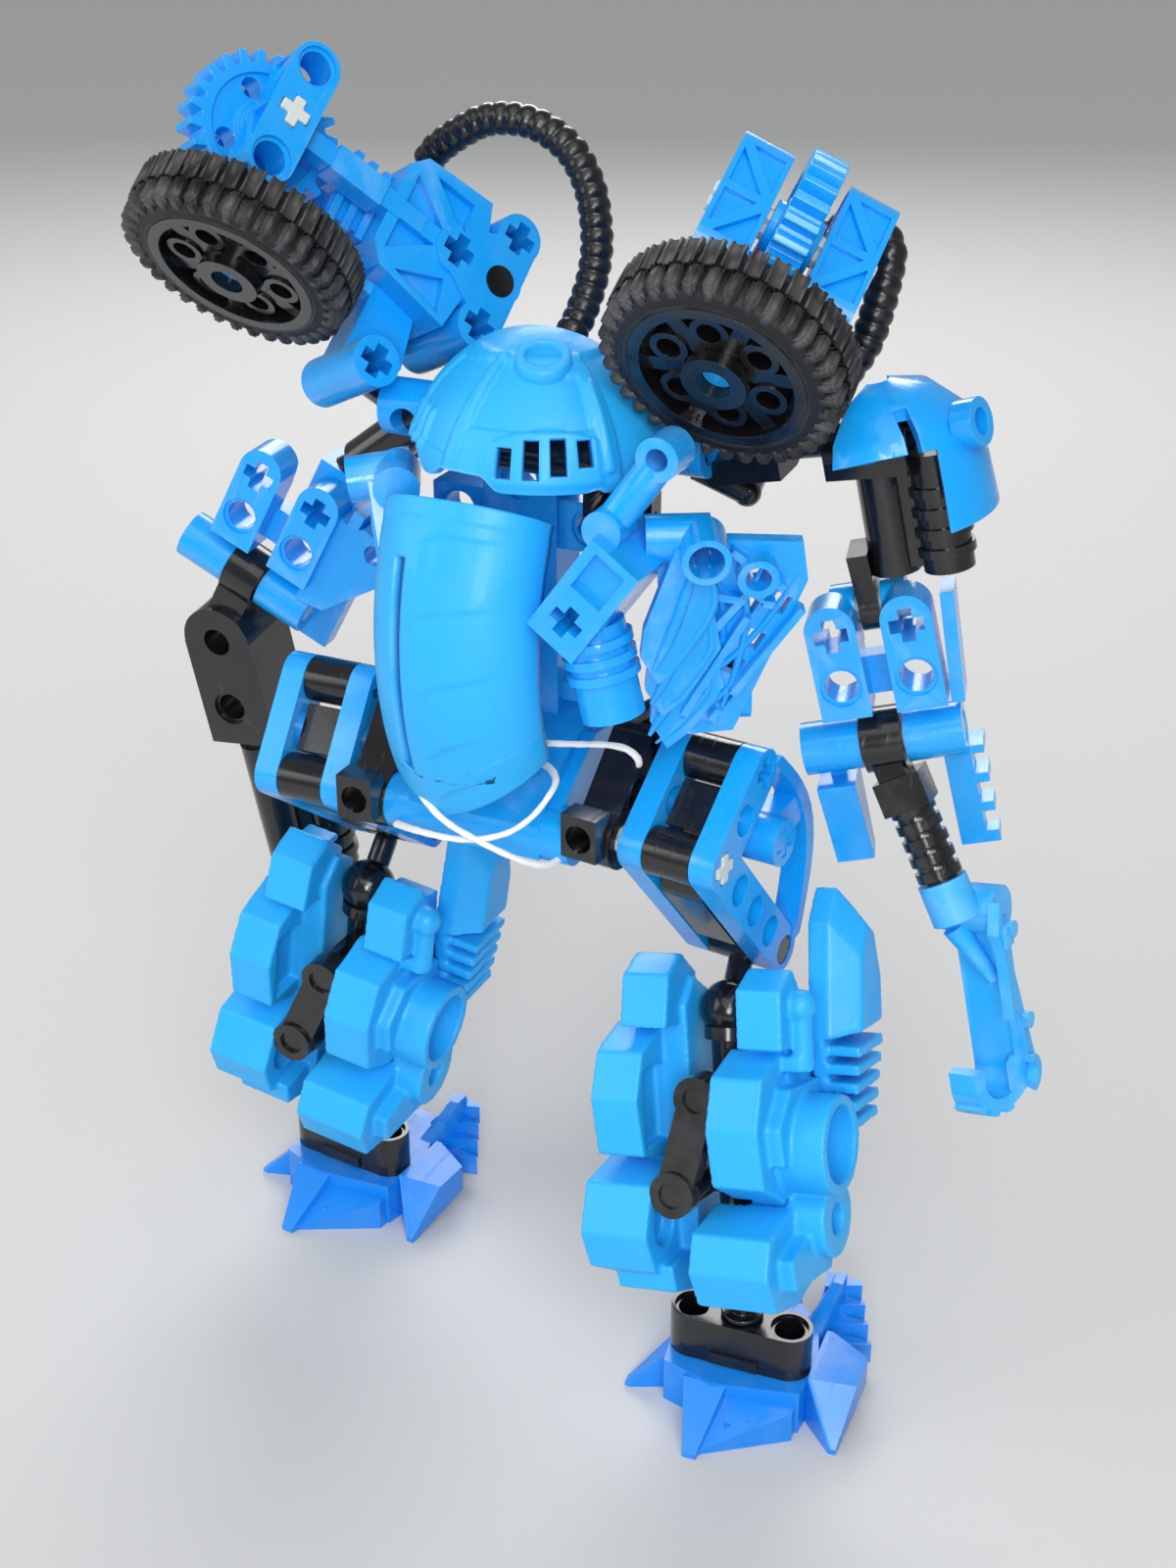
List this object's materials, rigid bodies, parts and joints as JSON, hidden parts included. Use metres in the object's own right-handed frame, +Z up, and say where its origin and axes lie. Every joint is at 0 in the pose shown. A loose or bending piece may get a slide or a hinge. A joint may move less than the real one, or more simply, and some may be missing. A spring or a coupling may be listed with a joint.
{
  "type": "posable construction toy robot figure",
  "caption": "Walking humanoid robot figure of snap-together toy parts, with wheeled shoulder guns, a domed helmet, clawed feet and a hook hand.",
  "frame": {"origin": "centre of the whole figure's bounding box in X and Y, at the level of the soles", "axes": "+Z up; the robot faces -Y and its left is +X"},
  "size_m": [0.152, 0.0691, 0.203],
  "materials": {
    "blue_gloss": "glossy bright azure moulded plastic",
    "blue_satin": "satin light azure moulded plastic",
    "foot_blue": "glossy deeper blue moulded plastic",
    "black_gloss": "glossy black moulded plastic",
    "hose_black": "black flexible ribbed hose",
    "tyre_rubber": "matte black rubber with worn lug edges",
    "axle_grey": "pale grey-white satin plastic axle",
    "band_white": "white covered elastic band"
  },
  "bodies": {
    "torso": {"pelvis_saddle": "blue_gloss", "hip_blocks": "black_gloss", "elastic_band": "band_white", "spine_frame": "blue_gloss", "belly_plate": "blue_satin", "neck_yoke": "black_gloss", "left_rib_panel": "blue_gloss", "right_rib_panel": "blue_gloss", "chest_block": "blue_gloss", "chest_piston": "blue_gloss", "back_strut": "black_gloss", "gun_mounts": "black_gloss", "right_hose": "hose_black", "left_hose": "hose_black"},
    "head": {"head_dome": "blue_satin"},
    "left_thigh": {"left_thigh_beams": "blue_gloss", "left_thigh_spacers": "black_gloss", "left_hip_axle": "axle_grey", "hip_guard": "blue_gloss"},
    "right_thigh": {"right_thigh_beams": "blue_gloss", "right_thigh_spacers": "black_gloss", "right_hip_axle": "axle_grey"},
    "left_shin": {"left_shin_core": "black_gloss", "left_shin_inner_shell": "blue_satin", "left_shin_outer_shell": "blue_satin", "left_calf_fins": "blue_satin"},
    "right_shin": {"right_shin_core": "black_gloss", "right_shin_inner_shell": "blue_satin", "right_shin_outer_shell": "blue_satin", "right_calf_fins": "blue_satin"},
    "left_foot": {"left_foot": "foot_blue", "left_ankle_beam": "black_gloss", "left_ankle_post": "black_gloss"},
    "right_foot": {"right_foot": "foot_blue", "right_ankle_beam": "black_gloss", "right_ankle_post": "black_gloss"},
    "left_gun": {"left_gun_frame": "blue_gloss", "left_gun_end_beams": "blue_gloss", "left_gun_axle": "axle_grey"},
    "right_gun": {"right_gun_frame": "blue_gloss", "right_gun_end_beams": "blue_gloss", "right_gun_axle": "axle_grey"},
    "left_gear": {"left_gun_gear": "blue_gloss"},
    "right_gear": {"right_gun_gear": "blue_gloss"},
    "left_wheel": {"left_gun_tyre": "tyre_rubber", "left_gun_hub": "black_gloss"},
    "right_wheel": {"right_gun_tyre": "tyre_rubber", "right_gun_hub": "black_gloss"},
    "left_upper_arm": {"left_upper_arm": "black_gloss", "shoulder_pad": "blue_gloss"},
    "left_forearm": {"left_forearm_yoke": "blue_gloss", "left_elbow_axle": "axle_grey", "forearm_fins": "blue_gloss"},
    "left_wrist": {"left_wrist_clamp": "black_gloss"},
    "hook": {"hook": "blue_satin"},
    "right_upper_arm": {"right_upper_arm": "black_gloss"},
    "right_forearm": {"right_forearm_yoke": "blue_gloss", "right_elbow_axle": "axle_grey"},
    "right_wrist": {"right_wrist_clamp": "black_gloss", "hand_tool": "black_gloss"}
  },
  "joints": [
    {"name": "head_tilt", "type": "hinge", "parent": "torso", "child": "head", "pos_m": [-0.00215, -0.01001, 0.152], "axis": [1, 0, 0], "range_deg": [-12, 2]},
    {"name": "left_hip", "type": "hinge", "parent": "torso", "child": "left_thigh", "pos_m": [0.02385, -0.01441, 0.0945], "axis": [0.9925, -0.1219, 0], "range_deg": [-12, 8]},
    {"name": "right_hip", "type": "hinge", "parent": "torso", "child": "right_thigh", "pos_m": [-0.03815, -0.01541, 0.0945], "axis": [1, 0, 0], "range_deg": [-12, 4]},
    {"name": "left_knee", "type": "hinge", "parent": "left_thigh", "child": "left_shin", "pos_m": [0.02641, 0.00643, 0.07035], "axis": [0.9925, -0.1219, 0], "range_deg": [-12, 12]},
    {"name": "right_knee", "type": "hinge", "parent": "right_thigh", "child": "right_shin", "pos_m": [-0.03815, 0.01048, 0.07569], "axis": [1, 0, 0], "range_deg": [-12, 4]},
    {"name": "left_ankle", "type": "hinge", "parent": "left_shin", "child": "left_foot", "pos_m": [0.03785, -0.01691, 0.0218], "axis": [1, 0, 0], "range_deg": [-8, 8]},
    {"name": "right_ankle", "type": "hinge", "parent": "right_shin", "child": "right_foot", "pos_m": [-0.04615, 0.00409, 0.0218], "axis": [1, 0, 0], "range_deg": [-8, 8]},
    {"name": "left_gun_pitch", "type": "hinge", "parent": "torso", "child": "left_gun", "pos_m": [0.01123, 0.02181, 0.15253], "axis": [-0.864, -0.2488, 0.4378], "range_deg": [0, 12], "deforming": ["left_hose"]},
    {"name": "right_gun_pitch", "type": "hinge", "parent": "torso", "child": "right_gun", "pos_m": [-0.02712, 0.02038, 0.16409], "axis": [-0.8193, 0.41, -0.4009], "range_deg": [0, 12], "deforming": ["right_hose"]},
    {"name": "left_gear_turn", "type": "hinge", "parent": "left_gun", "child": "left_gear", "pos_m": [0.03135, 0.00309, 0.1816], "axis": [0.864, 0.2488, -0.4378], "continuous": true},
    {"name": "right_gear_turn", "type": "hinge", "parent": "right_gun", "child": "right_gear", "pos_m": [-0.04995, -0.00031, 0.1896], "axis": [-0.8193, 0.41, -0.4009], "continuous": true},
    {"name": "left_wheel_turn", "type": "hinge", "parent": "left_gun", "child": "left_wheel", "pos_m": [0.02815, -0.011, 0.16842], "axis": [-0.024, -0.848, -0.5294], "continuous": true},
    {"name": "right_wheel_turn", "type": "hinge", "parent": "right_gun", "child": "right_wheel", "pos_m": [-0.04507, -0.01384, 0.17577], "axis": [-0.0541, -0.7513, -0.6578], "continuous": true},
    {"name": "left_shoulder", "type": "hinge", "parent": "torso", "child": "left_upper_arm", "pos_m": [0.04185, 0.00819, 0.154], "axis": [0.9781, 0, 0.2079], "range_deg": [0, 15]},
    {"name": "left_elbow", "type": "hinge", "parent": "left_upper_arm", "child": "left_forearm", "pos_m": [0.04319, 0.01135, 0.12798], "axis": [0.9415, 0.2347, 0.2419], "range_deg": [-9, 15]},
    {"name": "left_wrist", "type": "hinge", "parent": "left_forearm", "child": "left_wrist", "pos_m": [0.0471, 0.00944, 0.108], "axis": [0.9415, 0.2347, 0.2419], "range_deg": [-20, 3]},
    {"name": "hook_swivel", "type": "hinge", "parent": "left_wrist", "child": "hook", "pos_m": [0.05938, 0.00579, 0.08653], "axis": [0.4912, -0.146, -0.8587], "range_deg": [-20, 20]},
    {"name": "right_shoulder", "type": "hinge", "parent": "torso", "child": "right_upper_arm", "pos_m": [-0.02615, 0.01559, 0.15], "axis": [0, 1, 0], "range_deg": [0, 15]},
    {"name": "right_elbow", "type": "hinge", "parent": "right_upper_arm", "child": "right_forearm", "pos_m": [-0.04712, 0.01565, 0.13427], "axis": [-0.1045, 0.9945, 0], "range_deg": [0, 10]},
    {"name": "right_wrist", "type": "hinge", "parent": "right_forearm", "child": "right_wrist", "pos_m": [-0.06377, 0.00968, 0.11645], "axis": [0.8781, 0.0923, -0.4695], "range_deg": [-3, 25]}
  ]
}
